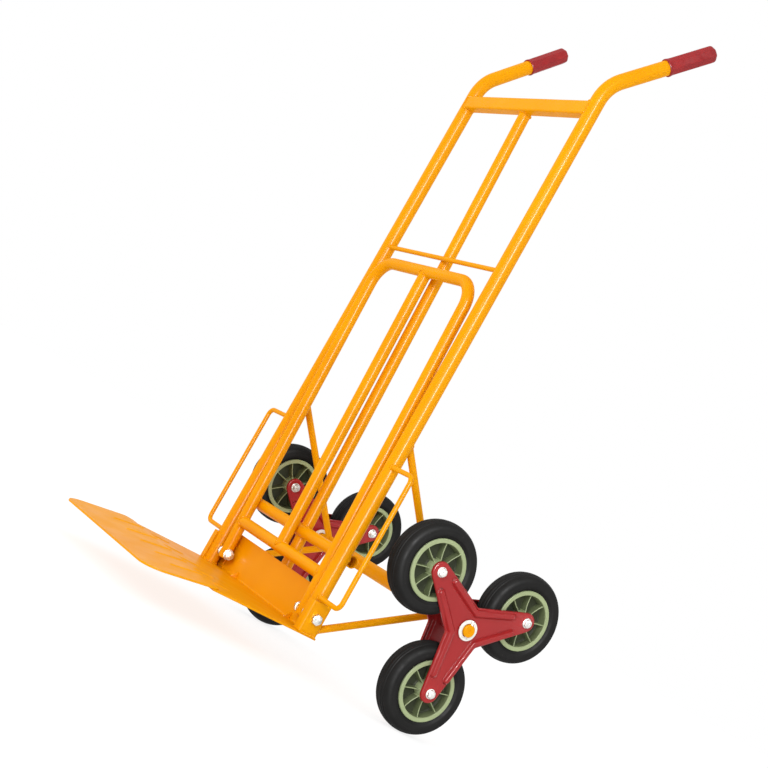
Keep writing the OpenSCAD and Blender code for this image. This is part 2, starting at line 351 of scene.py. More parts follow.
def material(name, colour, roughness=0.4, metallic=0.0, coat=0.0, coat_roughness=0.1,
             specular=0.3, tint=None, patch=14.0, spread=0.5, grain=900.0, bump=0.02,
             rough_spread=0.08, speckle=None, speckle_share=0.5):
    """A procedural finish: two tones in soft patches, uneven gloss, fine grain and specks."""
    made = bpy.data.materials.new(name)
    made.use_nodes = True
    nodes, links = made.node_tree.nodes, made.node_tree.links
    shader = nodes["Principled BSDF"]
    shader.inputs["Metallic"].default_value = metallic
    shader.inputs["Coat Weight"].default_value = coat
    shader.inputs["Coat Roughness"].default_value = coat_roughness
    shader.inputs["IOR"].default_value = 1.5
    shader.inputs["Specular IOR Level"].default_value = specular
    place = nodes.new("ShaderNodeTexCoord").outputs["Object"]

    def noise(scale, detail=3.0, rough=0.5):
        node = nodes.new("ShaderNodeTexNoise")
        node.inputs["Scale"].default_value = scale
        node.inputs["Detail"].default_value = detail
        node.inputs["Roughness"].default_value = rough
        links.new(place, node.inputs["Vector"])
        return node.outputs["Fac"]

    def spread_of(value, low_in, high_in, low_out, high_out):
        node = nodes.new("ShaderNodeMapRange")
        node.inputs["From Min"].default_value = low_in
        node.inputs["From Max"].default_value = high_in
        node.inputs["To Min"].default_value = low_out
        node.inputs["To Max"].default_value = high_out
        links.new(value, node.inputs["Value"])
        return node.outputs["Result"]

    def mix(share, a, b):
        node = nodes.new("ShaderNodeMix")
        node.data_type = "RGBA"
        links.new(share, node.inputs["Factor"])
        for value, socket in ((a, node.inputs["A"]), (b, node.inputs["B"])):
            if isinstance(value, tuple):
                socket.default_value = (*value, 1.0)
            else:
                links.new(value, socket)
        return node.outputs["Result"]

    other = tint or tuple(c * 0.8 for c in colour)
    tone = mix(spread_of(noise(patch), 0.35, 0.7, 0.0, spread), colour, other)
    if speckle:
        share = spread_of(noise(260.0, 2.0), 0.66, 0.74, 0.0, speckle_share)
        tone = mix(share, tone, speckle)
    links.new(tone, shader.inputs["Base Color"])
    links.new(spread_of(noise(patch * 3), 0.3, 0.7, roughness - rough_spread,
                        roughness + rough_spread), shader.inputs["Roughness"])
    raised = nodes.new("ShaderNodeBump")
    raised.inputs["Strength"].default_value = bump
    raised.inputs["Distance"].default_value = 0.0003
    links.new(noise(grain, 2.0), raised.inputs["Height"])
    links.new(raised.outputs["Normal"], shader.inputs["Normal"])
    return made


ORANGE = material("orange_paint", (0.78, 0.318, 0.0), roughness=0.4, specular=0.02, coat=0.08,
                  coat_roughness=0.19, tint=(0.7, 0.255, 0.0), patch=9.0, spread=0.6,
                  grain=420.0, bump=0.012, speckle=(0.45, 0.16, 0.01), speckle_share=0.05)
RED = material("star_paint", (0.35, 0.015, 0.0155), roughness=0.36, specular=0.15, coat=0.2,
               coat_roughness=0.12, tint=(0.29, 0.012, 0.013), patch=22.0, grain=520.0,
               bump=0.12, speckle=(0.16, 0.012, 0.012), speckle_share=0.25)
RUBBER = material("tyre_rubber", (0.0045, 0.0043, 0.004), roughness=0.64, specular=0.09,
                  tint=(0.009, 0.0085, 0.008), patch=26.0, spread=0.8, grain=1300.0, bump=0.3,
                  rough_spread=0.1, speckle=(0.05, 0.047, 0.043), speckle_share=0.2)
SAGE = material("rim_plastic", (0.33, 0.39, 0.2), roughness=0.5, specular=0.2,
                tint=(0.28, 0.34, 0.17), patch=30.0, grain=1500.0, bump=0.12,
                speckle=(0.2, 0.25, 0.12), speckle_share=0.2)
# Painted shade: a darker green for the sides of the rim's vanes.
SAGE_VANE_SIDE_PAINTED_SHADE = material("rim_plastic_vane_side_painted_shade", (0.15, 0.18, 0.085), roughness=0.6, specular=0.12,
                     tint=(0.1, 0.125, 0.055), patch=45.0, grain=1500.0, bump=0.12)
# Painted shade: a near-black green for the rim's web, deep between the vanes.
SAGE_WEB_PAINTED_SHADE = material("rim_plastic_web_painted_shade", (0.045, 0.055, 0.025), roughness=0.7, specular=0.1,
                     tint=(0.075, 0.09, 0.04), patch=45.0, grain=1500.0, bump=0.12)
MAROON = material("grip_vinyl", (0.31, 0.015, 0.016), roughness=0.42, specular=0.12,
                  tint=(0.17, 0.01, 0.014), patch=40.0, grain=1100.0, bump=0.14,
                  rough_spread=0.12, coat=0.07, coat_roughness=0.2)
ZINC = material("zinc_plate", (0.66, 0.66, 0.63), roughness=0.34, metallic=1.0, specular=0.5,
                tint=(0.46, 0.46, 0.44), patch=160.0, grain=2200.0, bump=0.2,
                rough_spread=0.12)
NYLON = material("nylon", (0.82, 0.82, 0.78), roughness=0.42, tint=(0.74, 0.73, 0.68),
                 patch=60.0, grain=900.0, bump=0.1)


# Rails, crossbar and the other frame tubes

def handle_axis(s):
    """Direction of a handle, leaning back and splaying outward."""
    return Vector((s * math.sin(HANDLE_LEAN) * math.sin(HANDLE_SPLAY),
                   math.sin(HANDLE_LEAN) * math.cos(HANDLE_SPLAY), math.cos(HANDLE_LEAN)))


def make_rail(name, s):
    foot = Vector((s * RAIL_X, RAIL_Y, FOOT_Z))
    corner = Vector((s * RAIL_X, RAIL_Y, CORNER_Z))
    end = corner + handle_axis(s) * (HANDLE_L - 0.002)
    shape = Shape()
    tube(shape, rounded([foot, corner, end], BEND_R, 24), TUBE_R, WALL)
    weld_round(shape, foot + Z * 0.01, Z, TUBE_R,
               lambda p: Vector((p.x, p.y, FOOT_Z + 0.0004)), 0.0016)
    shape.piece(f"{name}_rail_tube", "frame", "frame_paint", ORANGE, f"{name}_rail")


def rail_reach(s, d):
    """Finds the near rail's skin along d."""
    return lambda p: on_cylinder(p, d, Vector((s * RAIL_X, RAIL_Y, 0)), Z, TUBE_R)


def rounded_rectangle(y0, z0, y1, z1, r, steps=6):
    """Outline points (y, z) of a rectangle with round corners."""
    points = []
    corners = ((y1 - r, z1 - r, 0), (y0 + r, z1 - r, 1), (y0 + r, z0 + r, 2), (y1 - r, z0 + r, 3))
    for cy, cz, quarter in corners:
        for i in range(steps + 1):
            a = math.pi / 2 * (quarter + i / steps)
            points.append((cy + r * math.cos(a), cz + r * math.sin(a)))
    return points


def make_crossbar():
    lo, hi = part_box("top_crossbar")
    outline = rounded_rectangle(lo.y, lo.z, hi.y, hi.z, 0.003)
    reach = RAIL_X - TUBE_R * 0.2
    shape = Shape()
    shape.loft([[Vector((x, y, z)) for y, z in outline] for x in (-reach, -0.06, 0, 0.06, reach)])
    for s in (-1, 1):
        bead(shape, [rail_reach(s, X * s)(Vector((0, y, z))) for y, z in outline], 0.002)
    shape.piece("crossbar", "frame", "frame_paint", ORANGE, "top_crossbar")


def make_tie_rod():
    y, z = mid("tie_rod").y, mid("tie_rod").z
    reach = RAIL_X - TUBE_R * 0.25
    shape = Shape()
    tube(shape, [Vector((x, y, z)) for x in (-reach, -0.1, 0, 0.1, reach)], ROD_R)
    for s in (-1, 1):
        weld_round(shape, Vector((0, y, z)), X * s, ROD_R, rail_reach(s, X * s), 0.0015)
    shape.piece("tie_bar", "frame", "frame_paint", ORANGE, "tie_rod")


def make_lower_tube():
    """The tube that crosses behind the rails and is welded to their backs."""
    z = mid("lower_cross_tube").z
    y = high("lower_cross_tube").y - THIN_R
    shape = Shape()
    tube(shape, [Vector((x, y, z)) for x in (-RAIL_X, -0.1, 0, 0.1, RAIL_X)], THIN_R, WALL)
    for s in (-1, 1):
        end = Vector((s * (RAIL_X - 0.0022), RAIL_Y + TUBE_R, z))
        bead(shape, circle(end, X, Z, 0.0052, 40), 0.0019)
    shape.piece("lower_tube", "frame", "frame_paint", ORANGE, "lower_cross_tube")


def make_centre_tube():
    """The long tube between the rails, from the crossbar down to the upright sheet."""
    lo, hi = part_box("centre_tube")
    top = Vector((0, lo.y + THIN_R + 0.0003, hi.z + 0.01))
    foot = Vector((0, hi.y - THIN_R - 0.0003, lo.z + 0.003))
    axis = (foot - top).normalized()
    shape = Shape()
    tube(shape, [top, top.lerp(foot, 0.5), foot], THIN_R, WALL)
    weld_round(shape, top + axis * 0.06, -axis, THIN_R,
               lambda p: on_plane(p, -axis, Vector((0, 0, low("top_crossbar").z)), Z))
    z = mid("lower_cross_tube").z
    centre = top.lerp(foot, (top.z - z) / (top.z - foot.z))
    lead = high("lower_cross_tube").y - THIN_R - centre.y
    for up in (1, -1):
        line = []
        for i in range(17):
            a = math.pi * (0.1 + 0.8 * i / 16)
            x, y = THIN_R * math.cos(a), -THIN_R * math.sin(a)
            z = up * math.sqrt(THIN_R ** 2 - (y - lead) ** 2)
            line.append(centre + Vector((x, y, z)) * 1.01)
        bead(shape, line + [p + Y * 0.001 for p in reversed(line)], 0.0013)
    shape.piece("centre_upright_tube", "frame", "frame_paint", ORANGE, "centre_tube")


# Toe plate: a ribbed sheet with its upright, and a sloping ribbed blade on its front edge

def smooth_step(t):
    t = max(0.0, min(1.0, t))
    return t * t * (3 - 2 * t)


def pressed_rib(x, y, x0, y0, y1, half=0.0048, height=0.0016):
    """Height of a long pressed rib with round ends, at a point of a sheet."""
    dy = max(y0 - y, 0.0, y - y1)
    d = math.hypot(x - x0, dy)
    return height * smooth_step(1 - d / half)


def sheet_rows(columns, rows, half_width, top, thickness, edge=0.0006):
    """Closed rings across a sheet: top from left to right, then the underside back."""
    rings = []
    for y in rows:
        w = half_width(y)
        across = [w * u for u in columns]
        above = [Vector((x, y, top(x, y))) for x in across]
        ring = [p + Z * (-edge if i in (0, len(above) - 1) else 0) for i, p in enumerate(above)]
        ring[1].x = -w + edge
        ring[-2].x = w - edge
        below = [Vector((p.x, p.y, top(p.x, p.y) - thickness)) for p in ring]
        below[0].z += edge
        below[-1].z += edge
        rings.append(ring + below[::-1])
    return rings


def rib_columns(positions, half_width):
    """Shares of the half width that are close together at the ribs and the edges."""
    found = {-1.0, 1.0, -0.998, 0.998}
    steps = 26
    for i in range(-steps, steps + 1):
        found.add(round(0.985 * i / steps, 5))
    for x0 in positions:
        for i in range(-9, 10):
            found.add(round((x0 + 0.0075 * i / 9) / half_width, 5))
    return sorted(found)


def blend_rows(y0, y1, marks, steps=60):
    """Rows across a sheet, closer together at the marks."""
    rows = {y0, y1}
    for i in range(1, steps):
        rows.add(y0 + (y1 - y0) * i / steps)
    for m in marks:
        for i in range(-6, 7):
            y = m + 0.0009 * i
            if min(y0, y1) < y < max(y0, y1):
                rows.add(y)
    return sorted(rows)


def make_toe_base():
    lo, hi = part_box("toe_base")
    top_z = lo.z + TOE_T

    def top(x, y):
        rise = sum(pressed_rib(x, y, r, *BASE_RIB) for r in RIB_X)
        return top_z + rise

    shape = Shape()
    rows = [lo.y + 0.0004] + blend_rows(lo.y + 0.001, hi.y - 0.001, BASE_RIB)
    shape.loft(sheet_rows(rib_columns(RIB_X, TOE_X), rows + [hi.y - 0.0002], lambda y: TOE_X,
                          top, TOE_T))
    half = TOE_X - 0.0311
    bend = 0.005
    back_y = hi.y - TOE_T / 2
    foot_z = top_z - 0.0016
    path = rounded([Vector((0, back_y - bend - 0.001, foot_z)), Vector((0, back_y, foot_z)),
                    Vector((0, back_y, hi.z))], bend, 10)
    thick = 0.0013
    rings = []
    for i, (p, t, _, _) in enumerate(stations(path)):
        n = Vector((0, -t.z, t.y))
        inset = 0.0006 if i in (0, len(path) - 1) else 0.0
        w = half - inset
        c = 0.0005
        rings.append([p + X * x + n * m for x, m in
                      ((-w + c, -thick), (w - c, -thick), (w, -thick + c), (w, thick - c),
                       (w - c, thick), (-w + c, thick), (-w, thick - c), (-w, -thick + c))])
    shape.loft(rings)
    for s in (-1, 1):
        gusset(shape, s * GUSSET_X, back_y - TOE_T / 2, top_z)
    for s in (-1, 1):
        line = [Vector((s * (half + 0.0004), back_y - 0.0022, z)) for z in
                (top_z + 0.006 + (hi.z - top_z - 0.028) * i / 20 for i in range(21))]
        bead(shape, line + [p + Y * 0.0006 for p in reversed(line)], 0.0014)
    shape.piece("toe_plate", "frame", "frame_paint", ORANGE, "toe_base")


def gusset(shape, x, y, z, size=0.012, half=0.0015):
    """A small triangular stiffener in the corner of the base and the upright."""
    corners = (Vector((0, 0.0004, -0.0004)), Vector((0, -size, -0.0004)),
               Vector((0, -size, 0.0012)), Vector((0, -0.0012, size)), Vector((0, 0.0004, size)))
    rings = []
    for dx, inset in ((-half, 0.0005), (-half + 0.0005, 0), (half - 0.0005, 0), (half, 0.0005)):
        middle = Vector((0, -size * 0.3, size * 0.3))
        rings.append([Vector((x + dx, y, z)) + p.lerp(middle, inset / size * 2) for p in corners])
    return shape.loft(rings)


def make_blade():
    """The sloping front blade: ribs in its rear half, large round front corners."""
    front_r, rear_r = 0.034, 0.014
    base_top = FOOT_Z
    lip_y = BASE_FRONT

    def half_width(y):
        w = TOE_X
        from_front = y - BLADE_FRONT
        from_rear = BLADE_REAR - y
        if from_front < front_r:
            w = TOE_X - front_r + math.sqrt(max(front_r ** 2 - (front_r - from_front) ** 2, 0))
        if from_rear < rear_r:
            w = TOE_X - rear_r + math.sqrt(max(rear_r ** 2 - (rear_r - from_rear) ** 2, 0))
        return w

    def top(x, y):
        run = lip_y - y
        soft = 0.006
        fall = 0.0 if run < -soft else (run if run > soft else (run + soft) ** 2 / (4 * soft))
        rise = sum(pressed_rib(x, y, r, *BLADE_RIB) for r in RIB_X)
        return base_top + TOE_T - BLADE_SLOPE * fall + rise

    rows = set(blend_rows(BLADE_FRONT, BLADE_REAR, (lip_y, *BLADE_RIB)))
    for i in range(1, 16):
        share = 1 - math.cos(math.pi / 2 * i / 16)
        rows.add(BLADE_FRONT + front_r * share)
        rows.add(BLADE_REAR - rear_r * share)
    shape = Shape()
    shape.loft(sheet_rows(rib_columns(RIB_X, TOE_X), sorted(rows), half_width, top, TOE_T))
    shape.piece("front_blade", "frame", "frame_paint", ORANGE, "toe_blade")


def make_cheek(name, s):
    """The folded sheet round a rail's foot."""
    lo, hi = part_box(f"{name}_foot_cheek")
    t = TOE_T
    side_x = RAIL_X + TUBE_R + t / 2
    front_y = lo.y + t / 2
    back_y = hi.y - t / 2
    path = rounded([Vector((s * RAIL_X, front_y, 0)), Vector((s * side_x, front_y, 0)),
                    Vector((s * side_x, back_y, 0)),
                    Vector((s * (RAIL_X - 0.0154), back_y, 0))], 0.0035, 8)
    c = 0.0006
    rings = []
    for i, (p, d, _, _) in enumerate(stations(path)):
        n = Vector((d.y, -d.x, 0))
        k = 0.5 * c if i in (0, len(path) - 1) else 0.0
        h = t / 2 - k
        z0, z1 = lo.z + 0.0001, hi.z
        rings.append([p + n * m + Z * z for m, z in
                      ((-h + c, z0), (h - c, z0), (h, z0 + c), (h, z1 - c),
                       (h - c, z1), (-h + c, z1), (-h, z1 - c), (-h, z0 + c))])
    shape = Shape().loft(rings)
    foot = [Vector((p.x, p.y, lo.z + 0.0003)) + Vector((s * 0.0017, 0, 0))
            for p in path[9:-8]]
    bead(shape, foot + [p + Z * 0.0006 for p in reversed(foot)], 0.0015)
    shape.piece(f"{name}_cheek_sheet", "frame", "frame_paint", ORANGE, f"{name}_foot_cheek")


# Axle, its beam and the struts

def make_axle():
    """The axle, with chamfered ends and a centre drilling in each."""
    end = high("axle").x
    c = 0.0012
    shape = Shape()
    profile = [(c, 0.0012), (c, 0.0026), (0, 0.0034), (0, AXLE_R - c), (c, AXLE_R), (end, AXLE_R),
               (2 * end - c, AXLE_R), (2 * end, AXLE_R - c), (2 * end, 0.0034),
               (2 * end - c, 0.0026), (2 * end - c, 0.0012)]
    shape.loft(lathe(AXLE - X * end, X, profile, 64))
    shape.piece("axle_bar", "frame", "frame_paint", ORANGE, "axle")


def make_beam():
    half = high("axle_beam").x
    shape = Shape()
    tube(shape, [AXLE + X * x for x in (-half, 0, half)], TUBE_R, 0.0028, depth=0.006)
    shape.piece("axle_beam_tube", "frame", "frame_paint", ORANGE, "axle_beam")


def beam_reach(d):
    return lambda p: on_cylinder(p, d, AXLE, X, TUBE_R)


def make_struts(name, s):
    top = Vector((s * RAIL_X, RAIL_Y, AXLE.z + UPPER_STRUT_RISE))
    axle_end = Vector((s * RAIL_X, AXLE.y, AXLE.z))
    d = (axle_end - top).normalized()
    shape = Shape()
    tube(shape, [top, top.lerp(axle_end, 0.5), axle_end - d * TUBE_R * 0.6], STRUT_R)
    weld_round(shape, top + d * 0.08, -d, STRUT_R, rail_reach(s, -d))
    weld_round(shape, axle_end - d * 0.08, d, STRUT_R, beam_reach(d))
    shape.piece(f"{name}_upper_strut_bar", "frame", "frame_paint", ORANGE,
                f"{name}_upper_strut")
    x = s * LOWER_STRUT_X
    cheek_y = high(f"{name}_foot_cheek").y
    foot = Vector((x, cheek_y - 0.002, low(f"{name}_lower_strut").z + STRUT_R))
    beam = Vector((x, AXLE.y, AXLE.z - LOWER_STRUT_DROP))
    d = (beam - foot).normalized()
    shape = Shape()
    tube(shape, [foot, foot.lerp(beam, 0.5), beam - d * TUBE_R * 0.6], STRUT_R)
    weld_round(shape, foot + d * 0.05, -d, STRUT_R,
               lambda p: on_plane(p, -d, Vector((0, cheek_y, 0)), Y), 0.0016)
    weld_round(shape, beam - d * 0.06, d, STRUT_R, beam_reach(d))
    shape.piece(f"{name}_lower_strut_bar", "frame", "frame_paint", ORANGE,
                f"{name}_lower_strut")


def make_side_loop(name, s):
    lo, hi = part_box(f"{name}_side_loop")
    x = s * (max(abs(lo.x), abs(hi.x)) - ROD_R)
    y = (lo.y + hi.y) / 2
    z0, z1 = lo.z + ROD_R, hi.z - ROD_R
    inner = s * (RAIL_X + TUBE_R * 0.5)
    corners = [Vector((across, y, z)) for across, z in
               ((inner, z1), (x, z1), (x, z0), (inner, z0))]
    shape = Shape()
    tube(shape, rounded(corners, 0.012, 12), ROD_R)
    for z in (z0, z1):
        weld_round(shape, Vector((x, y, z)), X * -s, ROD_R, rail_reach(s, X * -s), 0.0017)
    shape.piece(f"{name}_strap_loop", "frame", "frame_paint", ORANGE, f"{name}_side_loop")


# Grips

def make_grip(name, s):
    """A push-on vinyl grip: a collar, eight soft flats and a domed end."""
    d = handle_axis(s)
    start = Vector((s * RAIL_X, RAIL_Y, CORNER_Z)) + d * (HANDLE_L - GRIP_L + 0.005)
    r, end_r = 0.0146, 0.008
    profile = [(0.0005, TUBE_R + 0.0002), (0, 0.0143), (0.0004, 0.0147), (0.0012, 0.01495),
               (0.0030, 0.01495), (0.0038, 0.0148), (0.0044, 0.0147)]
    body_end = GRIP_L - end_r
    profile += [(0.0052 + (body_end - 0.0052) * i / 20, r) for i in range(21)]
    for i in range(1, 11):
        a = math.pi / 2 * i / 10
        profile.append((body_end + end_r * math.sin(a), r - end_r + end_r * math.cos(a)))
    profile.append((GRIP_L, 0.002))

    def flats(a):
        eighth = math.pi / 4
        return math.cos(eighth / 2) / math.cos((a % eighth) - eighth / 2)

    shape = Shape()
    rings = []
    u = d.orthogonal().normalized()
    v = d.cross(u)
    for along, radius in profile:
        share = 0.95 * smooth_step((along - 0.004) / 0.006)
        ring = []
        for i in range(128):
            a = 2 * math.pi * i / 128
            k = 1 + (flats(a) * 1.025 - 1) * share
            ring.append(start + d * along
                        + (u * math.cos(a) + v * math.sin(a)) * (radius * min(k, 1.0)))
        rings.append(ring)
    shape.loft(rings)
    shape.piece(f"{name}_grip_sleeve", "frame", "grip", MAROON, f"{name}_grip", angle=60)


# Fasteners of the frame

def make_pivot(name, s):
    lo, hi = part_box(f"{name}_pivot_bolt")
    inner, outer = sorted((abs(lo.x), abs(hi.x)))
    side = X * s
    at = Vector((0, PIVOT.y, PIVOT.z))
    shape = Shape()
    head = 0.0064
    hex_head(shape, at + side * (outer - head), side, head, PIVOT_ACROSS)
    tube(shape, [at + side * (outer - head), at + side * 0.165, at + side * (inner + 0.008)],
         PIVOT_R)
    thread_end(shape, at + side * (inner + 0.009), -side, 0.009, 0.0049, 0.0015)
    washer(shape, at + side * PIVOT_NUT_X, side, 0.0015, 0.0095, PIVOT_R)
    hex_head(shape, at + side * PIVOT_NUT_X, -side, 0.006, PIVOT_ACROSS)
    washer(shape, at + side * PIVOT_SPACER_X, side, 0.0053, 0.009, PIVOT_R)
    shape.piece(f"{name}_pivot_fastener", "frame", "zinc", ZINC, f"{name}_pivot_bolt")


def make_hub_washers(name, s):
    shape = Shape()
    for x, thick in HUB_WASHERS:
        washer(shape, AXLE + X * (s * x), X * s, thick, 0.017, AXLE_R + 0.0014, 0.0007)
    shape.piece(f"{name}_nylon_washers", "frame", "washer", NYLON, f"{name}_hub_washers")


def make_split_pin(name, s):
    """A split pin: an eye above the axle, and two legs bent apart below it."""
    x = s * SPLIT_PIN_X
    r = 0.0009
    top = AXLE.z + 0.0134
    shape = Shape()
    eye = [Vector((x, AXLE.y + 0.0017 * math.sin(a), top + 0.0012 - 0.0019 * math.cos(a)))
           for a in (2 * math.pi * i / 20 for i in range(20))]
    rings = [circle(p, X, (p - Vector((x, AXLE.y, top + 0.0012))).normalized(), r, 12) for p in eye]
    shape.loft(rings, along=True)
    for side in (-1, 1):
        y = AXLE.y + side * 0.0007
        path = rounded([Vector((x, y, top - 0.0004)), Vector((x, y, AXLE.z - 0.0108)),
                        Vector((x, y + side * 0.0045, AXLE.z - 0.0128))], 0.0012, 5)
        tube(shape, path, r * 0.8, chamfer=0.0001)
    shape.piece(f"{name}_cotter", "frame", "zinc", ZINC, f"{name}_split_pin")


# Folding frame

def fold_point(x, along, out=0.0):
    """A point of the folding frame's leaning plane: across, along from the pivot, out of it."""
    c, s = math.cos(FOLD_LEAN), math.sin(FOLD_LEAN)
    return PIVOT + Vector((x, -along * s + out * c, along * c + out * s))


FOLD_UP = Vector((0, -math.sin(FOLD_LEAN), math.cos(FOLD_LEAN)))


def make_fold_frame():
    corners = [fold_point(FOLD_X, -0.009), fold_point(FOLD_X, FOLD_L), fold_point(-FOLD_X, FOLD_L),
               fold_point(-FOLD_X, -0.009)]
    shape = Shape()
    tube(shape, rounded(corners, FOLD_BEND, 18), THIN_R, WALL, depth=0.005)
    shape.piece("fold_hoop_tube", "folding_frame", "frame_paint", ORANGE, "fold_hoop")
    shape = Shape()
    tube(shape, [fold_point(0, a) for a in (FOLD_BAR, 0.3, FOLD_L)], THIN_R * 0.998)
    for end, up in ((FOLD_L, 1), (FOLD_BAR, -1)):
        d = FOLD_UP * up
        weld_round(shape, fold_point(0, 0.3), d, THIN_R,
                   lambda p: on_cylinder(p, d, fold_point(0, end), X, THIN_R))
    shape.piece("fold_centre_tube", "folding_frame", "frame_paint", ORANGE, "fold_centre_bar")
    shape = Shape()
    tube(shape, [fold_point(x, FOLD_BAR) for x in (-FOLD_X, 0, FOLD_X)], THIN_R * 0.998)
    for s in (-1, 1):
        weld_round(shape, fold_point(0, FOLD_BAR), X * s, THIN_R,
                   lambda p: on_cylinder(p, X * s, fold_point(s * FOLD_X, 0), FOLD_UP, THIN_R))
    shape.piece("fold_bottom_tube", "folding_frame", "frame_paint", ORANGE, "fold_bottom_bar")


# Stars: two pressed plates each, with folded edges and a raised rib along every valley

ARM_END_R = 0.016
VALLEY_R = 0.038
RIB_END = 0.084
STAR_RIB = 0.0032  # how far the CAD plate's ribs stand out of its face
BOLT_HEAD_X, BOLT_NUT_X, BOLT_END_X = 0.2848, 0.2268, 0.2205
BOLT_R, BOLT_ACROSS = 0.004, 0.013


def star_line(arm_l, count=540):
    """The plate's outline, evenly spaced, with arm 0 along +x."""
    valley = Vector((math.cos(math.pi / 3), math.sin(math.pi / 3), 0)) * VALLEY_R
    centre = Vector((arm_l, 0, 0))
    to_valley = valley - centre
    opening = math.acos(ARM_END_R / to_valley.length)
    edge = math.atan2(to_valley.y, to_valley.x) - opening
    outline = []
    for k in range(3):
        turn = Matrix.Rotation(2 * math.pi / 3 * k, 3, "Z")
        arc = [centre + Vector((math.cos(a), math.sin(a), 0)) * ARM_END_R
               for a in (edge * (-1 + 2 * i / 20) for i in range(21))]
        outline += [turn @ p for p in arc + [valley]]
    bent = []
    for i, p in enumerate(outline):
        if i % 22 == 21:
            ahead = outline[(i + 1) % len(outline)]
            bent += rounded([outline[i - 1], p, ahead], 0.007, 6)[1:-1]
        else:
            bent.append(p)
    return resample(bent, count)


def star_rise(p, half=0.0058, height=0.0042):
    """Height of the V-shaped ribs at a point of the plate, with a groove along their feet."""
    rise = groove = 0.0
    for k in range(3):
        q = Matrix.Rotation(-2 * math.pi / 3 * k, 3, "Z") @ p
        for s in (-1, 1):
            a = Vector((math.cos(math.pi / 3), s * math.sin(math.pi / 3), 0))
            a *= VALLEY_R - 0.009
            b = Vector((RIB_END, s * 0.0142, 0))
            along = (q - a).dot(b - a) / (b - a).length_squared
            along = max(0.0, min(1.0, along))
            d = (q - a.lerp(b, along)).length
            rise = max(rise, height * smooth_step((1 - d / half) * 2.0))
            groove = max(groove, smooth_step(1 - abs(d - half) / 0.0018))
    return rise - 0.0011 * groove * (1 - rise / height)


def star_plate(arm_l, place, fold_r=0.0028, thickness=0.0022, flange=0.0056, hole=0.0112):
    """A pressed sheet; place maps (x, y, height towards its outer side) to the frame."""
    line = star_line(arm_l)
    count = len(line)
    normals = []
    for i in range(count):
        t = (line[(i + 1) % count] - line[i - 1]).normalized()
        normals.append(Vector((t.y, -t.x, 0)))
    inner_line = [p - n * fold_r for p, n in zip(line, normals)]
    steps = 60

    def grid(level, order):
        rings = []
        for j in order:
            share = j / steps
            ring = []
            for p in inner_line:
                q = (p.normalized() * hole).lerp(p, share)
                ring.append(place(q, level + star_rise(q)))
            rings.append(ring)
        return rings

    rings = grid(0.0, range(steps + 1))
    for i in range(1, 6):
        a = math.pi / 2 * i / 5
        rings.append([place(p - n * fold_r * (1 - math.sin(a)), -fold_r * (1 - math.cos(a)))
                      for p, n in zip(line, normals)])
    rings.append([place(p, -flange + 0.0005) for p in line])
    rings.append([place(p - n * 0.0005, -flange) for p, n in zip(line, normals)])
    rings.append([place(p - n * (thickness - 0.0005), -flange) for p, n in zip(line, normals)])
    rings.append([place(p - n * thickness, -flange + 0.0005) for p, n in zip(line, normals)])
    rings += grid(-thickness, range(steps, -1, -1))
    return Shape().loft(rings, along=True)


def make_star(name, s):
    body = f"{name}_star"
    wheel = mid(f"{name}_bottom_tyre")
    arm = Vector((0, wheel.y - AXLE.y, wheel.z - AXLE.z))
    arm_l = arm.length
    u = arm.normalized()
    v = X.cross(u)
    for part, out in (("outer", 1), ("inner", -1)):
        lo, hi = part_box(f"{name}_star_{part}_plate")
        towards = s * out
        face = max(abs(lo.x), abs(hi.x)) if out > 0 else min(abs(lo.x), abs(hi.x))
        face = s * (face - STAR_RIB * out)

        def place(p, height, face=face, towards=towards):
            return Vector((face + towards * height, AXLE.y, AXLE.z)) + u * p.x + v * p.y

        shape = star_plate(arm_l, place)
        shape.piece(f"{name}_{part}_star_plate", body, "star_paint", RED,
                    f"{name}_star_{part}_plate", angle=50)
    lo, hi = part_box(f"{name}_star_hub")
    shape = Shape()
    washer(shape, Vector((lo.x + 0.0002, AXLE.y, AXLE.z)), X, hi.x - lo.x - 0.0004, 0.015,
           AXLE_R + 0.0003, 0.0008)
    for x in (STAR_X - 0.0254, STAR_X + 0.0254):
        ring = circle(Vector((s * x, AXLE.y, AXLE.z)), Y, Z, 0.0152, 40)
        bead(shape, ring, 0.0015)
    shape.piece(f"{name}_hub_sleeve", body, "star_paint", RED, f"{name}_star_hub")
    make_star_fasteners(name, s, body)


def make_star_fasteners(name, s, body):
    out = X * s
    bolts, nuts = Shape(), Shape()
    for arm in ARMS:
        wheel = mid(f"{name}_{arm}_tyre")
        at = Vector((0, wheel.y, wheel.z))
        washer(bolts, at + out * (BOLT_HEAD_X + 0.0001), out, 0.001, 0.0083, BOLT_R)
        hex_head(bolts, at + out * (BOLT_HEAD_X + 0.001), out, 0.0047, BOLT_ACROSS)
        tube(bolts, [at + out * BOLT_HEAD_X, at + out * STAR_X, at + out * BOLT_END_X], BOLT_R)
        thread_end(bolts, at + out * (BOLT_END_X + 0.0003), -out, 0.0022, BOLT_R - 0.0001)
        washer(nuts, at + out * BOLT_NUT_X, out, 0.0012, 0.0085, BOLT_R)
        hex_head(nuts, at + out * BOLT_NUT_X, -out, 0.0057, BOLT_ACROSS)
    bolts.piece(f"{name}_wheel_bolts", body, "zinc", ZINC, f"{name}_star_bolts")
    nuts.piece(f"{name}_wheel_nuts", body, "zinc", ZINC, f"{name}_star_nuts")


# Wheels

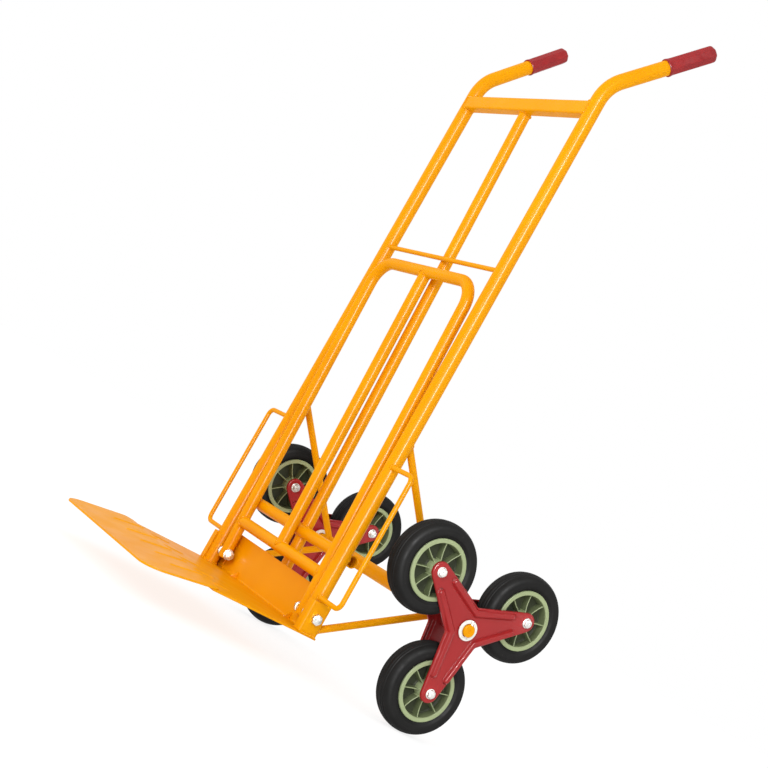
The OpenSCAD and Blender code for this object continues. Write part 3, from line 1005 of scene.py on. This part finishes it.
def tyre_profile():
    """Half-round tread with fine grooves, and sidewalls with a step, as (across, radius) pairs."""
    half = TYRE_W / 2
    crown = 0.0125
    profile = [(0, RIM_R - 0.0012), (-half + 0.006, RIM_R - 0.0012),
               (-half + 0.0045, RIM_R - 0.0002), (-half + 0.0032, RIM_R + 0.0012),
               (-half + 0.0030, RIM_R + 0.0028), (-half + 0.0012, RIM_R + 0.0042)]
    side_end = WHEEL_R - crown
    for i in range(7):
        r = RIM_R + 0.0052 + (side_end - RIM_R - 0.0052) * i / 6
        bulge = math.sin(math.pi * (0.25 + 0.4 * i / 6))
        profile.append((-half + 0.0016 * (1 - bulge), r))
    grooves = (0.0042, 0.0092)
    steps = 44
    for i in range(1, 2 * steps):
        a = math.pi * i / (2 * steps)
        across = -half * math.cos(a)
        r = side_end + crown * math.sin(a) ** 0.72
        cut = 0.0
        for g in grooves:
            d = abs(abs(across) - g)
            cut = max(cut, 0.0014 * smooth_step(1 - d / 0.0013))
        profile.append((across, r - cut))
    mirrored = [(-x, r) for x, r in reversed(profile[1:13])]
    return profile + mirrored


def make_wheel(name, s, arm):
    body = f"{name}_{arm}_wheel"
    centre = mid(f"{name}_{arm}_tyre")
    axis = X * s
    shape = Shape()
    shape.loft(lathe(centre, axis, tyre_profile(), 144), along=True)
    shape.piece(f"{name}_{arm}_rubber", body, "tyre", RUBBER, f"{name}_{arm}_tyre", angle=50)
    make_rim(name, s, arm, body, centre, axis)
    shape = Shape()
    washer(shape, centre - axis * 0.025, axis, 0.05, 0.006, 0.00405, 0.0003)
    shape.piece(f"{name}_{arm}_sleeve", body, "zinc", ZINC, f"{name}_{arm}_bush")


def make_rim(name, s, arm, body, centre, axis):
    """A moulded rim: a ring, a thin web, a hub and eight thin vanes on each side.

    The recesses are painted with shade: a near-black green on the web and a darker green on the
    vane sides.
    """
    half = RIM_W / 2
    ring_in = RIM_R - 0.0076
    web = 0.0018
    hub, bore = 0.0135, 0.0061
    side = [(-half, RIM_R - 0.0012), (-half, ring_in + 0.0008),
            (-half + 0.0006, ring_in + 0.0002), (-half + 0.0014, ring_in),
            (-web - 0.0016, ring_in - 0.0011), (-web, ring_in - 0.003), (-web, hub + 0.003),
            (-web - 0.002, hub + 0.0008), (-0.0215, hub), (-0.0227, hub - 0.0007),
            (-0.023, hub - 0.0014), (-0.023, bore + 0.0005), (-0.0225, bore)]
    profile = [(0, RIM_R - 0.0008), (-half + 0.0008, RIM_R - 0.0004)] + side
    profile += [(-x, r) for x, r in reversed(side)] + [(half - 0.0008, RIM_R - 0.0004)]
    shape = Shape()
    shape.loft(lathe(centre, axis, profile, 144), along=True)
    turn = Matrix.Rotation(s * math.pi / 2, 3, "Y")
    for k in range(8):
        a = math.radians(45 * k + 12)
        d = turn @ Vector((math.cos(a), math.sin(a), 0))
        n = turn @ Vector((-math.sin(a), math.cos(a), 0))
        for face in (-1, 1):
            vane(shape, centre, axis * face, d, n, hub - 0.001, ring_in + 0.0006, web * 0.5,
                 half - 0.0042)
    rim = shape.piece(f"{name}_{arm}_rim_moulding", body, "rim", SAGE, f"{name}_{arm}_rim")
    rim.data.materials.append(SAGE_WEB_PAINTED_SHADE)
    rim.data.materials.append(SAGE_VANE_SIDE_PAINTED_SHADE)
    # Painted shade: faces between hub and ring take the near-black green next to the web and the
    # darker green on the vane sides.
    for face in rim.data.polygons:
        p = face.center - centre
        across = abs(p.dot(axis))
        if hub + 0.001 < (p - axis * p.dot(axis)).length < ring_in:
            face.material_index = 1 if across < 0.005 else 2 if across < 0.012 else 0


def vane(shape, centre, out, d, n, r0, r1, deep, high_at):
    """A thin moulded vane from the hub to the ring, thinner at its free edge."""
    rings = []
    for i in range(9):
        r = r0 + (r1 - r0) * i / 8
        end = high_at + 0.0022 * (2 * i / 8 - 1) ** 2
        root, tip = 0.0011, 0.0008
        ring = [(-root, deep), (root, deep), (tip, end - 0.0005), (tip * 0.4, end),
                (-tip * 0.4, end), (-tip, end - 0.0005)]
        rings.append([centre + d * r + n * m + out * h for m, h in ring])
    return shape.loft(rings)


for name, s in SIDES.items():
    make_rail(name, s)
    make_cheek(name, s)
    make_struts(name, s)
    make_side_loop(name, s)
    make_grip(name, s)
    make_pivot(name, s)
    make_hub_washers(name, s)
    make_split_pin(name, s)
    make_star(name, s)
    for arm in ARMS:
        make_wheel(name, s, arm)
make_crossbar()
make_centre_tube()
make_tie_rod()
make_lower_tube()
make_toe_base()
make_blade()
make_axle()
make_beam()
make_fold_frame()


# Floor, light and camera

def plane(name, centre, size):
    mesh = bpy.data.meshes.new(name)
    h = size / 2
    corners = ((-h, -h, 0), (h, -h, 0), (h, h, 0), (-h, h, 0))
    mesh.from_pydata([centre + Vector(p) for p in corners], [], [(0, 1, 2, 3)])
    obj = bpy.data.objects.new(name, mesh)
    bpy.context.scene.collection.objects.link(obj)
    return obj


floor = plane("floor", Vector((0, 0, cad_box[0].z - 0.0005)), 60.0)
floor_look = bpy.data.materials.new("pale_floor")
floor_look.use_nodes = True
floor_shader = floor_look.node_tree.nodes["Principled BSDF"]
floor_shader.inputs["Base Color"].default_value = (0.22, 0.22, 0.22, 1)
floor_shader.inputs["Roughness"].default_value = 1.0
floor_shader.inputs["Specular IOR Level"].default_value = 0.0
floor_shader.inputs["Emission Color"].default_value = (1, 1, 1, 1)
floor_shader.inputs["Emission Strength"].default_value = 0.82
floor.data.materials.append(floor_look)

world = bpy.data.worlds.new("studio")
world.use_nodes = True
world.node_tree.nodes["Background"].inputs["Color"].default_value = (1.0, 1.0, 1.0, 1)
world.node_tree.nodes["Background"].inputs["Strength"].default_value = 1.0
bpy.context.scene.world = world
bpy.context.scene.view_settings.view_transform = "Standard"

AIM = Vector((0.0, -0.05, 0.55))


def softbox(name, place, size, power, aim=AIM):
    lamp = bpy.data.lights.new(name, "AREA")
    lamp.shape = "RECTANGLE"
    lamp.size, lamp.size_y = size
    lamp.energy = power
    obj = bpy.data.objects.new(name, lamp)
    obj.location = place
    obj.rotation_euler = (aim - Vector(place)).to_track_quat("-Z", "Y").to_euler()
    bpy.context.scene.collection.objects.link(obj)
    return obj


softbox("key_light", (1.8, -2.3, 1.4), (1.0, 1.0), 36.0)
# This strip is seen only in reflections: it draws the bright streaks along the tubes
streak = softbox("streak_strip", (2.4, -1.05, 1.0), (0.42, 2.0), 420.0, Vector((0, 0, 1.0)))
streak.visible_diffuse = False
softbox("side_strip", (2.2, 2.0, 1.2), (0.1, 2.0), 6.0, Vector((0, 0, 1.2)))
softbox("far_fill", (-2.2, -1.8, 1.8), (1.5, 1.5), 8.0)

camera = bpy.data.objects.new("camera", bpy.data.cameras.new("camera"))
# Low and rolled, to match the lean of the truck in the photograph
right = Vector((0.48806, 0.72217, 0.49018))
up = Vector((-0.18981, -0.46035, 0.86721))
back = right.cross(up)
place = Matrix((right, up, back)).transposed().to_4x4()
place.translation = Vector((2.04874, -1.26128, 0.26146))
camera.matrix_world = place
camera.data.sensor_width = 36.0
camera.data.lens = 67.21
bpy.context.scene.collection.objects.link(camera)
bpy.context.scene.camera = camera
